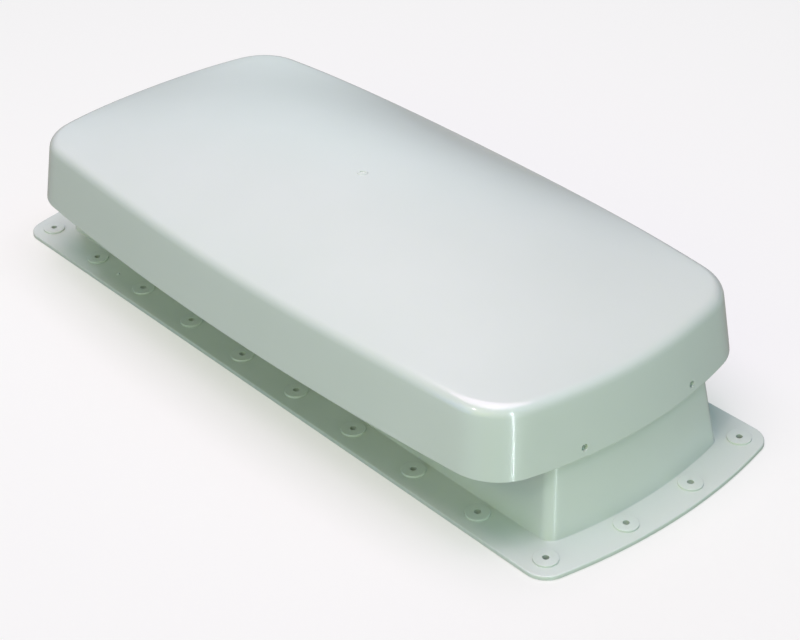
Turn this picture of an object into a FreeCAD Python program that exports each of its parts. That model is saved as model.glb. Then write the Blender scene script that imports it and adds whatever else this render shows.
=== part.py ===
"""Roof vent for a caravan refrigerator flue: a flanged collar with a bird screen, under a lift-off domed cap.

Origin: centre of the flange's underside. +X runs along the vent, +Y across it, +Z up. Millimetres.
"""

import FreeCAD, Part
import math
import os
from FreeCAD import Vector

# Roof screw grid, which sizes the flange
screw_pitch = 63.5
screws_per_side = 10
side_row_spacing = 190.5
end_screw_spacing = 63.5
end_screw_step = 11.0
screw_hole_diameter = 4.7
pad_diameter = 17.5
pad_height = 1.3
pad_round = 0.6

# Roof flange
flange_end_margin = 28.25
flange_side_margin = 17.5
flange_end_radius = 445.0
flange_corner_radius = 17.5
flange_thickness = 3.0
flange_edge_round = 1.0

# Collar that rises from the flange
collar_wall = 2.5
collar_pad_gap_side = 3.0
collar_pad_gap_end = 1.6
collar_end_radius = 361.0
collar_corner_radius = 10.0
end_draft = 9.35
collar_side_draft = 8.0

# Windows in the long walls, where the air leaves under the cap
window_end_margin = 69.0
window_slope = 20.0
window_round = 6.0

# Shelf for the screen, and the ledges that carry the cap
screen_level = 73.0
shelf_thickness = 2.5
shelf_lip = 0.5
ledge_thickness = 2.5
ledge_width = 12.0

# Bird screen of welded wire
mesh_wire = 1.0
mesh_weld = 0.2
mesh_pitch_across = 12.0
mesh_pitch_along = 24.0
mesh_side_margin = 2.7
mesh_end_margin = 11.6

# Strips that hold the edges of the screen down
strip_width = 13.0
strip_thickness = 1.5
strip_overlap = 1.0
strip_corner_gap = 2.0
strip_round = 1.5
strip_hole_diameter = 4.1

# Screws through the strips into bosses under the shelf
screen_screw_diameter = 3.5
screen_screw_length = 14.0
screen_screw_point = 0.9
screen_head_diameter = 7.0
screen_head_height = 2.2
screen_head_round = 1.2
driver_width = 1.2
driver_length = 4.2
driver_depth = 1.2
thread_clearance = 0.1
tip_clearance = 0.5
screen_boss_diameter = 8.0
screen_boss_floor = 2.0
side_screw_bays = (3, 9)
end_screw_bay = 3
end_screw_inset = 3.5

# Domed cap
cap_wall = 2.5
cap_fit_gap = 0.35
skirt_lift = 54.1
skirt_height = 50.9
outlet_width = 56.6
cap_side_draft = 1.8
cap_end_radius_bottom = 362.0
cap_end_radius_top = 410.0
cap_side_radius_bottom = 2500.0
cap_side_radius_top = 1770.0
cap_corner_radius_bottom = 41.0
cap_corner_radius_top = 44.7
cap_edge_radius = 11.0
crown_height = 26.6
skirt_edge_round = 0.8

# Screw holes through the ends of the cap and the bosses behind them
cap_hole_diameter = 5.0
cap_hole_spacing = 103.0
cap_hole_rise = 7.1
pilot_hole_diameter = 3.4
pilot_boss_diameter = 10.0
pilot_boss_length = 8.0

# Ribs under the cap
rest_rib_height = 9.0
rest_rib_thickness = 2.0
rest_rib_spacing = 40.0
rest_rib_length = 22.0
rest_gap = 0.2
locator_gap = 0.6
locator_reach = 10.5
locator_length = 26.0
locator_thickness = 2.5

# Moulding marks
gate_mark_diameter = 6.6
gate_mark_depth = 0.5
gate_nub_diameter = 2.6
gate_nub_height = 0.35
flange_pip_diameter = 3.6
flange_pip_height = 0.9
flange_pip_bays = 1.5
flange_pip_inset = 2.4

# Places worked out from the sizes above
far = 1000.0
pad_radius = pad_diameter / 2
row_x = (screws_per_side - 1) * screw_pitch / 2
row_y = side_row_spacing / 2
end_screw_x = row_x + end_screw_step
end_taper = math.tan(math.radians(end_draft))
side_taper = math.tan(math.radians(collar_side_draft))
cap_side_taper = math.tan(math.radians(cap_side_draft))
shelf_top = flange_thickness + screen_level
strip_low = shelf_top + 2 * mesh_wire - mesh_weld
screw_seat = strip_low + strip_thickness
skirt_bottom = flange_thickness + skirt_lift
rim_top = skirt_bottom + skirt_height
end_wall_top = rim_top - cap_wall - rest_rib_height
cap_hole_level = skirt_bottom + cap_hole_rise


def collar_reach(level):
    """Half length of the collar's outside at a height, on the centre line."""
    return end_screw_x - pad_radius - collar_pad_gap_end - (level - flange_thickness) * end_taper


def collar_side(level):
    """Half width of the collar's outside at a height."""
    return row_y - pad_radius - collar_pad_gap_side - (level - flange_thickness) * side_taper


# Cap outline, which nests over the collar's ends and overhangs its sides
cap_half_length = collar_reach(skirt_bottom) + cap_fit_gap + cap_wall / math.cos(math.radians(end_draft))
cap_half_width = collar_side(skirt_bottom) + outlet_width + cap_wall
cap_top_half_length = cap_half_length - skirt_height * end_taper
cap_top_half_width = cap_half_width - skirt_height * cap_side_taper

# Screen layout between the collar's walls
mesh_half_width = collar_side(shelf_top) - collar_wall - mesh_side_margin
mesh_half_length = collar_reach(shelf_top) - collar_wall - mesh_end_margin
strip_outer_x = mesh_half_length + strip_overlap
strip_outer_y = mesh_half_width + strip_overlap
strip_inner_x = strip_outer_x - strip_width
strip_inner_y = strip_outer_y - strip_width


def circle_crossing(centre_a, radius_a, centre_b, radius_b):
    """The crossing of two circles that lies furthest towards +X and +Y."""
    step = centre_b - centre_a
    gap = step.Length
    along = (radius_a ** 2 - radius_b ** 2 + gap ** 2) / (2 * gap)
    across = math.sqrt(radius_a ** 2 - along ** 2)
    unit = step * (1 / gap)
    middle = centre_a + unit * along
    side = Vector(-unit.y, unit.x, 0) * across
    return max((middle + side, middle - side), key=lambda point: point.x + point.y)


def corner_arc(half_length, half_width, end_radius, side_radius, corner_radius):
    """Three points of the arc that rounds the +X +Y corner, from the end to the side."""
    end_centre = Vector(half_length - end_radius, 0, 0)
    end_reach = end_radius - corner_radius
    if side_radius:
        side_centre = Vector(0, half_width - side_radius, 0)
        centre = circle_crossing(end_centre, end_reach, side_centre, side_radius - corner_radius)
        to_side = (centre - side_centre).normalize()
    else:
        centre_y = half_width - corner_radius
        centre = Vector(end_centre.x + math.sqrt(end_reach ** 2 - centre_y ** 2), centre_y, 0)
        to_side = Vector(0, 1, 0)
    to_end = (centre - end_centre).normalize()
    to_middle = (to_end + to_side).normalize()
    return [centre + direction * corner_radius for direction in (to_end, to_middle, to_side)]


def outline(half_length, half_width, end_radius, side_radius, corner_radius, level):
    """Closed wire: a rectangle whose ends, and sides where side_radius is given, bow out in large arcs."""
    on_end, on_corner, on_side = corner_arc(half_length, half_width, end_radius, side_radius, corner_radius)
    end_middle = Vector(half_length, 0, 0)
    side_middle = Vector(0, half_width, 0)

    def place(point, sign_x, sign_y):
        return Vector(point.x * sign_x, point.y * sign_y, level)

    edges = []
    for x, y in ((1, 1), (-1, 1), (-1, -1), (1, -1)):
        rounding = [place(point, x, y) for point in (on_end, on_corner, on_side)]
        turns_to_side = x * y > 0
        if turns_to_side:
            run = [place(on_side, x, y), place(side_middle, x, y), place(on_side, -x, y)]
        else:
            rounding.reverse()
            run = [place(on_end, x, y), place(end_middle, x, y), place(on_end, x, -y)]
        edges.append(Part.Arc(*rounding).toShape())
        if turns_to_side and not side_radius:
            edges.append(Part.LineSegment(run[0], run[-1]).toShape())
        else:
            edges.append(Part.Arc(*run).toShape())
    return Part.Wire(edges)


def slab(x_low, x_high, y_low, y_high, z_low, z_high):
    """Box between the given corners."""
    return Part.makeBox(x_high - x_low, y_high - y_low, z_high - z_low, Vector(x_low, y_low, z_low))


def upright_rod(place, diameter, low, high):
    """Upright cylinder, to add a boss or cut a hole."""
    return Part.makeCylinder(diameter / 2, high - low, Vector(place.x, place.y, low))


def both_ends(shape):
    """The shape and its mirror image at the other end of the vent."""
    return [shape, shape.mirror(Vector(0, 0, 0), Vector(1, 0, 0))]


def both_sides(shape):
    """The shape and its mirror image on the other long side."""
    return [shape, shape.mirror(Vector(0, 0, 0), Vector(0, 1, 0))]


def level_edges(shape, level):
    """Edges of the shape that lie flat at one height."""
    near = 1e-4
    return [e for e in shape.Edges if level - near < e.BoundBox.ZMin and e.BoundBox.ZMax < level + near]


def collar_form(inset, low, high):
    """The collar's tapered body between two heights, drawn in by inset all round."""
    wires = []
    end_radius = collar_end_radius - inset
    corner_radius = collar_corner_radius - inset
    for level in (low, high):
        half_length = collar_reach(level) - inset
        half_width = collar_side(level) - inset
        wires.append(outline(half_length, half_width, end_radius, None, corner_radius, level))
    return Part.makeLoft(wires, True, True)


def flange_plate():
    """Flat roof flange with bowed ends and a rounded top edge."""
    half_length = row_x + flange_end_margin
    half_width = row_y + flange_side_margin
    rim = outline(half_length, half_width, flange_end_radius, None, flange_corner_radius, 0)
    plate = Part.Face(rim).extrude(Vector(0, 0, flange_thickness))
    return plate.makeFillet(flange_edge_round, level_edges(plate, flange_thickness))


def roof_screw_places():
    """Centres of the roof screws: a row along each side, and two more at each end."""
    steps = [-row_x + i * screw_pitch for i in range(screws_per_side)]
    places = [Vector(x, side * row_y, 0) for side in (-1, 1) for x in steps]
    end_y = end_screw_spacing / 2
    return places + [Vector(end * end_screw_x, side * end_y, 0) for end in (-1, 1) for side in (-1, 1)]


def screw_pad(place):
    """Raised disc round a roof screw hole, with a rounded edge."""
    top = flange_thickness + pad_height
    pad = upright_rod(place, pad_diameter, flange_thickness / 2, top)
    return pad.makeFillet(pad_round, level_edges(pad, top))


def flange_pip():
    """Small domed moulding pip on the front strip of the flange."""
    place = Vector(-row_x + flange_pip_bays * screw_pitch, -row_y - flange_pip_inset, flange_thickness)
    radius = flange_pip_diameter / 2
    ball_radius = (radius ** 2 + flange_pip_height ** 2) / (2 * flange_pip_height)
    ball = Part.makeSphere(ball_radius, place + Vector(0, 0, flange_pip_height - ball_radius))
    return ball.common(upright_rod(place, 2 * flange_pip_diameter, flange_thickness / 2, far))


def side_windows():
    """Body that is cut from both long walls above the shelf, with sloping ends and rounded feet."""
    half = collar_reach(shelf_top) - window_end_margin
    lean = window_slope * (far - shelf_top) / (end_wall_top - shelf_top)
    corners = [(-half, shelf_top), (half, shelf_top), (half + lean, far), (-half - lean, far)]
    points = [Vector(x, -far, z) for x, z in corners]
    body = Part.Face(Part.makePolygon(points + points[:1])).extrude(Vector(0, 2 * far, 0))
    feet = [e for e in level_edges(body, shelf_top) if e.BoundBox.YLength > far]
    return body.makeFillet(window_round, feet)


def screen_shelf():
    """Flat shelf round the throat, under the edges of the screen."""
    ring = collar_form(collar_wall / 2, shelf_top - shelf_thickness, shelf_top)
    half_x = strip_inner_x - shelf_lip
    half_y = strip_inner_y - shelf_lip
    return ring.cut(slab(-half_x, half_x, -half_y, half_y, 0, far))


def screen_screw_places():
    """Centres of the strip screws, each in the middle of an opening of the mesh."""
    side_y = wire_places(mesh_half_width, mesh_pitch_across)[-1] - mesh_pitch_across / 2
    places = []
    for bay in side_screw_bays:
        x = bay * mesh_pitch_along
        places += [Vector(end * x, side * side_y, 0) for end in (-1, 1) for side in (-1, 1)]
    end_x = mesh_half_length - end_screw_inset
    end_y = end_screw_bay * mesh_pitch_across
    return places + [Vector(end * end_x, side * end_y, 0) for end in (-1, 1) for side in (-1, 1)]


def cap_ledges():
    """Inward ledges on top of both end walls, where the cap's ribs rest."""
    low = end_wall_top - ledge_thickness
    start = collar_reach(end_wall_top) - collar_wall - ledge_width
    ring = collar_form(collar_wall / 2, low, end_wall_top)
    return both_ends(ring.common(slab(start, far, -far, far, low, end_wall_top)))


def pilot_start():
    """Where the bosses behind the cap's screw holes start, measured along X."""
    half = cap_hole_spacing / 2
    bow = collar_end_radius - math.sqrt(collar_end_radius ** 2 - half ** 2)
    return collar_reach(cap_hole_level) - bow - collar_wall - pilot_boss_length


def cap_screw_rods(diameter):
    """Rods along X at the cap's four screws, to add bosses or cut holes."""
    rods = []
    for side in (-1, 1):
        start = Vector(pilot_start(), side * cap_hole_spacing / 2, cap_hole_level)
        rods += both_ends(Part.makeCylinder(diameter / 2, far, start, Vector(1, 0, 0)))
    return rods


def make_vent_base():
    """Flange, collar, shelf, ledges and bosses as one moulding."""
    collar = collar_form(0, flange_thickness / 2, end_wall_top)
    throat = collar_form(collar_wall, -flange_thickness, end_wall_top + flange_thickness)
    pads = [screw_pad(place) for place in roof_screw_places()]
    base = flange_plate().fuse([collar, flange_pip()] + pads)
    base = base.cut([throat, side_windows()])
    solid_collar = collar_form(collar_wall / 2, 0, end_wall_top)
    pilot_bosses = [rod.common(solid_collar) for rod in cap_screw_rods(pilot_boss_diameter)]
    hole_low = screw_seat - screen_screw_length - tip_clearance
    boss_low = hole_low - screen_boss_floor
    screen_bosses = [upright_rod(p, screen_boss_diameter, boss_low, shelf_top) for p in screen_screw_places()]
    base = base.fuse([screen_shelf()] + cap_ledges() + pilot_bosses + screen_bosses)
    thread_hole = screen_screw_diameter + thread_clearance
    holes = [upright_rod(p, screw_hole_diameter, -far, far) for p in roof_screw_places()]
    holes += [upright_rod(p, thread_hole, hole_low, far) for p in screen_screw_places()]
    return base.cut(holes + cap_screw_rods(pilot_hole_diameter)).removeSplitter()


def wire_places(half_size, pitch):
    """Places of the wires from one edge of the mesh to the other, with an opening at the middle."""
    count = math.floor((half_size - mesh_wire) / pitch + 0.5)
    return [pitch * (i + 0.5) for i in range(-count, count)]


def make_bird_screen():
    """Welded mesh: long wires laid on cross wires."""
    half = mesh_wire / 2
    long_low = shelf_top + mesh_wire - mesh_weld
    cross_wires = [
        slab(x - half, x + half, -mesh_half_width, mesh_half_width, shelf_top, shelf_top + mesh_wire)
        for x in wire_places(mesh_half_length, mesh_pitch_along)
    ]
    long_wires = [
        slab(-mesh_half_length, mesh_half_length, y - half, y + half, long_low, long_low + mesh_wire)
        for y in wire_places(mesh_half_width, mesh_pitch_across)
    ]
    return cross_wires[0].fuse(cross_wires[1:] + long_wires).removeSplitter()


def strip(x_low, x_high, y_low, y_high):
    """Flat strip on top of the mesh, with rounded corners and holes for its screws."""
    bar = slab(x_low, x_high, y_low, y_high, strip_low, screw_seat)
    upright = [e for e in bar.Edges if e.BoundBox.ZLength > strip_thickness / 2]
    bar = bar.makeFillet(strip_round, upright)
    inside = [p for p in screen_screw_places() if x_low < p.x < x_high and y_low < p.y < y_high]
    return bar.cut([upright_rod(p, strip_hole_diameter, 0, far) for p in inside])


def make_strips():
    """The four strips round the edge of the mesh, by name."""
    half_x = strip_inner_x - strip_corner_gap
    half_y = strip_inner_y - strip_corner_gap
    return {
        "screen_strip_front": strip(-half_x, half_x, -strip_outer_y, -strip_inner_y),
        "screen_strip_back": strip(-half_x, half_x, strip_inner_y, strip_outer_y),
        "screen_strip_left": strip(-strip_outer_x, -strip_inner_x, -half_y, half_y),
        "screen_strip_right": strip(strip_inner_x, strip_outer_x, -half_y, half_y),
    }


def screen_screw(place):
    """Pan-head screw with a cross recess, standing on its strip."""
    top = screw_seat + screen_head_height
    tip = screw_seat - screen_screw_length
    head = upright_rod(place, screen_head_diameter, screw_seat, top)
    head = head.makeFillet(screen_head_round, level_edges(head, top))
    shank = upright_rod(place, screen_screw_diameter, tip, screw_seat)
    shank = shank.makeChamfer(screen_screw_point, level_edges(shank, tip))
    half_w = driver_width / 2
    half_l = driver_length / 2
    recess_low = top - driver_depth
    slot = slab(place.x - half_l, place.x + half_l, place.y - half_w, place.y + half_w, recess_low, far)
    cross = slab(place.x - half_w, place.x + half_w, place.y - half_l, place.y + half_l, recess_low, far)
    return head.fuse(shank).cut([slot, cross]).removeSplitter().Solids[0]


def dome_block(drop):
    """Block whose top is the cap's dome: highest at the centre, and level with the rim along its edges."""
    flat_x = cap_top_half_length - cap_edge_radius
    flat_y = cap_top_half_width - cap_edge_radius
    overrun = 1.25
    edge_lift = 1 - overrun ** 2
    lifts = (edge_lift, 2 - edge_lift, edge_lift)
    surface = Part.BezierSurface()
    surface.increase(2, 2)
    for i, lift_x in enumerate(lifts):
        for j, lift_y in enumerate(lifts):
            x = (i - 1) * overrun * flat_x
            y = (j - 1) * overrun * flat_y
            surface.setPole(i + 1, j + 1, Vector(x, y, rim_top - drop + crown_height * lift_x * lift_y))
    return surface.toShape().extrude(Vector(0, 0, -far))


def skirt_form(inset, low, high):
    """The cap's tapered body between two heights, drawn in by inset all round."""
    wires = []
    for level in (low, high):
        share = (level - skirt_bottom) / skirt_height

        def between(bottom, top):
            return bottom + (top - bottom) * share - inset

        half_length = between(cap_half_length, cap_top_half_length)
        half_width = between(cap_half_width, cap_top_half_width)
        end_radius = between(cap_end_radius_bottom, cap_end_radius_top)
        side_radius = between(cap_side_radius_bottom, cap_side_radius_top)
        corner_radius = between(cap_corner_radius_bottom, cap_corner_radius_top)
        wires.append(outline(half_length, half_width, end_radius, side_radius, corner_radius, level))
    return Part.makeLoft(wires, True, True)


def cap_form(inset, drop, low):
    """The cap as a full body: tapered skirt, domed top and the rounded edge between them."""
    body = skirt_form(inset, low, rim_top + crown_height).common(dome_block(drop)).Solids[0]
    below_rim = rim_top - drop - cap_edge_radius
    rim = [edge for edge in body.Edges if edge.BoundBox.ZMin > below_rim]
    return body.makeFillet(cap_edge_radius - inset, rim)


def rest_ribs(hollow):
    """Ribs under both ends of the roof that stand on the base's ledges."""
    start = collar_reach(end_wall_top) - collar_wall - rest_rib_length
    half = rest_rib_thickness / 2
    ribs = []
    for y in (-rest_rib_spacing, 0, rest_rib_spacing):
        plate = slab(start, far, y - half, y + half, end_wall_top + rest_gap, far)
        ribs += both_ends(plate.common(hollow))
    return ribs


def locator_ribs(hollow):
    """Ribs that hang outside the collar's corners and keep the cap central."""
    low = end_wall_top - locator_reach
    inner_y = collar_side(low) + locator_gap
    finish = collar_reach(end_wall_top) - collar_corner_radius
    plate = slab(finish - locator_length, finish, inner_y, inner_y + locator_thickness, low, far)
    return [rib for side in both_sides(plate.common(hollow)) for rib in both_ends(side)]


def make_vent_cap():
    """Domed lid with its skirt, ribs and screw holes as one moulding."""
    outer = cap_form(0, 0, skirt_bottom)
    outer = outer.makeFillet(skirt_edge_round, level_edges(outer, skirt_bottom))
    hollow = cap_form(cap_wall, cap_wall, skirt_bottom - cap_wall)
    ribs = rest_ribs(hollow) + locator_ribs(hollow)
    cap = outer.cut(hollow).fuse(ribs).cut(cap_screw_rods(cap_hole_diameter))
    centre = Vector(0, 0, 0)
    floor = rim_top + crown_height - gate_mark_depth
    gate_mark = upright_rod(centre, gate_mark_diameter, floor, far)
    gate_nub = upright_rod(centre, gate_nub_diameter, floor - gate_nub_height, floor + gate_nub_height)
    return cap.cut(gate_mark).fuse(gate_nub).removeSplitter()


def main():
    """Builds every piece and writes it to its own file."""
    pieces = {
        "vent_base": make_vent_base(),
        "vent_cap": make_vent_cap(),
        "bird_screen": make_bird_screen(),
        "screen_screws": Part.makeCompound([screen_screw(place) for place in screen_screw_places()]),
    }
    pieces.update(make_strips())
    os.makedirs("parts", exist_ok=True)
    for name, shape in pieces.items():
        print(name, "solids", len(shape.Solids), "valid", shape.isValid(), "mm3", round(shape.Volume))
        shape.exportStep("parts/" + name + ".step")


main()
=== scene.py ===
"""Looks of a camper's refrigerator roof vent: domed cap, flanged base, bird screen, strips and screws.

Every piece is a surface worked out from the sizes below, in metres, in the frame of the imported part.
"""

import math

import bmesh
import bpy
import numpy as np
from bpy.props import FloatProperty, FloatVectorProperty, IntProperty, PointerProperty
from mathutils import Matrix, Vector
from mathutils.geometry import delaunay_2d_cdt


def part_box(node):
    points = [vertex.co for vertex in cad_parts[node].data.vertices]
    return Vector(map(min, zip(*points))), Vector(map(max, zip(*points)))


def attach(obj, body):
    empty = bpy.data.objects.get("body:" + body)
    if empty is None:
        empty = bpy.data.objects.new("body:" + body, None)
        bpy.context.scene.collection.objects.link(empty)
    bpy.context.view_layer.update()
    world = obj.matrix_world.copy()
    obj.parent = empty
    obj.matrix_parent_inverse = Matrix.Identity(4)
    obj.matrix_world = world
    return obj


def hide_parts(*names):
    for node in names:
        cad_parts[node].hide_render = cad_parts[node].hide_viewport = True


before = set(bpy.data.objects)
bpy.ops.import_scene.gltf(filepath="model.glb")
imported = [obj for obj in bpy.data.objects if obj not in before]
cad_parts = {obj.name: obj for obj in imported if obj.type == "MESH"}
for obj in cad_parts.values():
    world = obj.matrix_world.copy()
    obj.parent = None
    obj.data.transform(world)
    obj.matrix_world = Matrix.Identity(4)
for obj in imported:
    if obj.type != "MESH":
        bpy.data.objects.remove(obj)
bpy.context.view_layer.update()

bl_info = {
    "name": "Refrigerator roof vent",
    "version": (1, 0, 0),
    "blender": (4, 5, 0),
    "location": "View3D > Sidebar > Roof vent",
    "description": "Builds the cap, base, screen, strips and screws of a refrigerator roof vent",
    "category": "Object",
}

MM = 0.001
# Plan radius of a side that is straight
STRAIGHT = 1e4
# Points that lie closer together than this are welded into one
WELD = 2e-6
# Cells across the square block of a wall's grid that a screw hole takes, and half the block's width
HOLE_CELLS = 8
CAP_BLOCK = 6 * MM
COLLAR_BLOCK = 8 * MM
# Points round the roof screws' pads, the strip screws' holes and bosses, the pip, a wire and a strip screw
PAD_POINTS = 40
BOSS_POINTS = 32
PIP_POINTS = 24
WIRE_POINTS = 10
SCREW_POINTS = 48
CAP_LOW, CAP_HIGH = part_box("vent_cap")
BASE_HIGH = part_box("vent_base")[1]
SCREEN_LOW, SCREEN_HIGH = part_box("bird_screen")
STRIP_LOW, STRIP_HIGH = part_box("screen_strip_right")
SCREW_LOW, SCREW_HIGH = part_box("screen_screws")
STRIP_NODES = [name for name in sorted(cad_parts) if name.startswith("screen_strip_")]


def length(title, millimetres, words):
    """A length property, given in millimetres and kept in metres."""
    return FloatProperty(name=title, description=words, default=millimetres * MM, unit="LENGTH", precision=5)


def angle(title, degrees, words):
    """An angle property, given in degrees."""
    return FloatProperty(name=title, description=words, default=math.radians(degrees), unit="ROTATION")


def linear(hex_colour):
    """Linear red, green and blue of an sRGB hex colour."""
    parts = np.array([int(hex_colour[i:i + 2], 16) for i in (1, 3, 5)]) / 255
    return tuple(np.where(parts <= 0.04045, parts / 12.92, ((parts + 0.055) / 1.055) ** 2.4))


def colour(title, hex_colour, words):
    """A colour property, given as sRGB hex."""
    return FloatVectorProperty(name=title, description=words, default=linear(hex_colour), subtype="COLOR",
                               size=3, min=0.0, max=1.0)


class CapSizes(bpy.types.PropertyGroup):
    """Sizes of the domed cap."""

    wall: length("Wall", 2.5, "Thickness of the cap's wall")
    skirt_height: length("Skirt height", 50.9, "Height of the skirt up to where its line meets the dome")
    end_draft: angle("End draft", 9.35, "Lean of the skirt's ends")
    side_draft: angle("Side draft", 6.3, "Lean of the skirt's long sides")
    end_radius_bottom: length("End radius below", 362, "Plan radius of the ends at the bottom")
    end_radius_top: length("End radius above", 410, "Plan radius of the ends at the rim")
    side_radius_bottom: length("Side radius below", 2500, "Plan radius of the long sides at the bottom")
    side_radius_top: length("Side radius above", 2420, "Plan radius of the long sides at the rim")
    corner_radius_bottom: length("Corner radius below", 41, "Plan radius of the corners at the bottom")
    corner_radius_top: length("Corner radius above", 42, "Plan radius of the corners at the rim")
    side_rise: length("Side rise", 2.6, "How much higher the rim is at the middle of the long sides")
    edge_radius: length("Edge radius", 9.5, "Radius between the dome and the skirt")
    lip_round: length("Lip round", 0.8, "Radius of the skirt's lower outer edge")
    hole_radius: length("Screw hole radius", 2.5, "Radius of the four screw holes")
    hole_side: length("Screw hole from the middle", 51.5, "Distance of the screw holes from the centre line")
    hole_rise: length("Screw hole rise", 7.1, "Height of the screw holes above the skirt's bottom")
    gate_radius: length("Gate mark radius", 4.1, "Outer radius of the moulding gate's ring")
    gate_rise: length("Gate mark rise", 0.45, "Height of the ring above the dome")
    gate_wall: length("Gate mark wall", 0.35, "Width of the ring's sloping sides")
    dimple_radius: length("Gate dimple radius", 2.2, "Radius of the dimple inside the ring")
    dimple_depth: length("Gate dimple depth", 0.4, "Depth of the dimple below the dome")
    rib_thickness: length("Rest rib thickness", 2, "Thickness of the ribs that rest on the base")
    rib_spacing: length("Rest rib spacing", 40, "Distance between the ribs that rest on the base")
    rib_length: length("Rest rib length", 22, "How far the rest ribs reach inwards from the end wall")
    rib_gap: length("Rest rib gap", 0.2, "Gap between the rest ribs and the base")
    locator_thickness: length("Locator thickness", 2.5, "Thickness of the locating ribs")
    locator_length: length("Locator length", 26, "Length of the locating ribs")
    locator_reach: length("Locator reach", 10.5, "How far the locating ribs hang below the end walls' tops")
    locator_gap: length("Locator gap", 0.6, "Gap between the locating ribs and the collar")


class BaseSizes(bpy.types.PropertyGroup):
    """Sizes of the flanged base."""

    screw_pitch: length("Screw pitch", 63.5, "Distance between neighbouring roof screws")
    screws_per_side: IntProperty(name="Screws per side", description="Screws in each long row", default=10)
    row_side: length("Screw row offset", 95.25, "Distance of the long screw rows from the centre line")
    end_screw_step: length("End screw step", 11, "How far the end screws lie beyond the long rows")
    hole_radius: length("Screw hole radius", 2.35, "Radius of the roof screw holes")
    pad_radius: length("Pad radius", 8.75, "Radius of the raised pads")
    pad_height: length("Pad height", 1.5, "Height of the raised pads above the flange")
    pad_round: length("Pad round", 0.3, "Radius of the pads' edges")
    flange_thickness: length("Flange thickness", 3, "Thickness of the flange")
    flange_round: length("Flange round", 1, "Radius of the flange's upper edge")
    flange_end_radius: length("Flange end radius", 445, "Plan radius of the flange's ends")
    flange_corner_radius: length("Flange corner radius", 17.5, "Plan radius of the flange's corners")
    wall: length("Wall", 2.5, "Thickness of the collar's wall")
    collar_half_length: length("Collar half length", 286.4, "Half length of the collar at the flange")
    collar_half_width: length("Collar half width", 83.5, "Half width of the collar at the flange")
    collar_end_radius: length("Collar end radius", 361, "Plan radius of the collar's ends")
    collar_corner_radius: length("Collar corner radius", 10, "Plan radius of the collar's corners")
    end_draft: angle("End draft", 9.35, "Lean of the collar's ends")
    side_draft: angle("Side draft", 8, "Lean of the collar's long sides")
    foot_round: length("Foot round", 0.7, "Radius between the collar and the flange")
    window_margin: length("Window margin", 69, "From the end wall to the start of the side window")
    window_slope: length("Window slope", 20, "Run of the side window's sloping ends")
    window_round: length("Window round", 6, "Radius at the feet of the side window's ends")
    shelf_thickness: length("Shelf thickness", 2.5, "Thickness of the screen's shelf")
    shelf_lip: length("Shelf lip", 0.5, "How far the shelf reaches inwards past the strips")
    ledge_thickness: length("Ledge thickness", 2.5, "Thickness of the ledges that carry the cap")
    pilot_radius: length("Pilot hole radius", 1.7, "Radius of the holes for the cap's screws")
    pilot_boss_radius: length("Pilot boss radius", 5, "Radius of the bosses for the cap's screws")
    pilot_boss_length: length("Pilot boss length", 8, "Length of the bosses for the cap's screws")
    boss_radius: length("Screen boss radius", 4, "Radius of the bosses under the shelf")
    boss_depth: length("Screen boss depth", 2.5, "How far the bosses reach below the screws' points")
    boss_edge: length("Screen boss edge", 0.4, "Bevel at the tips of the bosses")
    pip_radius: length("Pip radius", 1.8, "Radius of the moulding pip on the flange")
    pip_height: length("Pip height", 0.9, "Height of the moulding pip")
    pip_bays: FloatProperty(name="Pip place", description="Bays from corner screw to pip", default=1.5)
    pip_inset: length("Pip offset", 2.4, "How far the pip lies outside the screw row")


class ScreenSizes(bpy.types.PropertyGroup):
    """Sizes of the bird screen, its strips and their screws."""

    wire_radius: length("Wire radius", 0.5, "Radius of the screen's wires")
    pitch_across: length("Pitch across", 12, "Distance between the long wires")
    pitch_along: length("Pitch along", 24, "Distance between the cross wires")
    strip_round: length("Strip corner radius", 1.5, "Plan radius of the strips' corners")
    strip_edge: length("Strip edge", 0.25, "Bevel along the strips' edges")
    strip_hole_radius: length("Strip hole radius", 2.05, "Radius of the strips' screw holes")
    head_radius: length("Head radius", 3.5, "Radius of the screws' pan heads")
    head_height: length("Head height", 2.2, "Height of the screws' pan heads")
    head_round: length("Head round", 1.3, "Radius of the heads' upper edge")
    shank_radius: length("Shank radius", 1.75, "Radius of the screws' shanks")
    shank_point: length("Shank point", 1.2, "Length of the screws' tapered points")
    recess_half_width: length("Recess half width", 0.6, "Half width of the cross recess at its floor")
    recess_half_length: length("Recess half length", 1.9, "Half length of the cross recess at its floor")
    recess_depth: length("Recess depth", 1.2, "Depth of the cross recess")
    recess_flare: length("Recess flare", 0.35, "How far the walls of the recess lean out")


class VentLooks(bpy.types.PropertyGroup):
    """Colours and studio settings."""

    plastic: colour("Plastic", "#DCE6D8", "Off-white of the moulded plastic")
    plastic_cloud: colour("Plastic cloud", "#D5E1D1", "Slightly greener tone that drifts through the plastic")
    wire: colour("Wire", "#A9ABA9", "Zinc-coated wire")
    wire_dull: colour("Dull wire", "#7E817F", "Dull patches of the zinc")
    strip: colour("Strip", "#C3C6C8", "Mill-finish aluminium")
    strip_dull: colour("Dull strip", "#A4A8AB", "Rolling streaks in the aluminium")
    screw: colour("Screw", "#B9B8B0", "Bright zinc plating")
    screw_tint: colour("Screw tint", "#A8A48F", "Warm tint of the plating")
    floor: colour("Floor", "#FDFFF9", "Pale studio floor")
    backdrop: colour("Backdrop", "#E2E3E1", "Pale backdrop beyond the floor")
    bounce: colour("Floor bounce", "#A6AA98", "Light that the floor throws back")
    # Painted shade: near-black sheet under the flange that darkens the screw holes and the throat inside
    painted_shade_card: colour("Dark card", "#1C1D1A", "Card under the flange")


def even_angles(count):
    """Angles of a closed ring, without its repeated end."""
    return np.arange(count) * (2 * np.pi / count)


def closed_angles(count):
    """Angles of a closed ring, with the first one again at its end."""
    return np.append(even_angles(count), 0)


def plan_directions(turn):
    """Unit directions (cos, sin) at the given angles."""
    return np.stack([np.cos(turn), np.sin(turn)], axis=-1)


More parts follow.
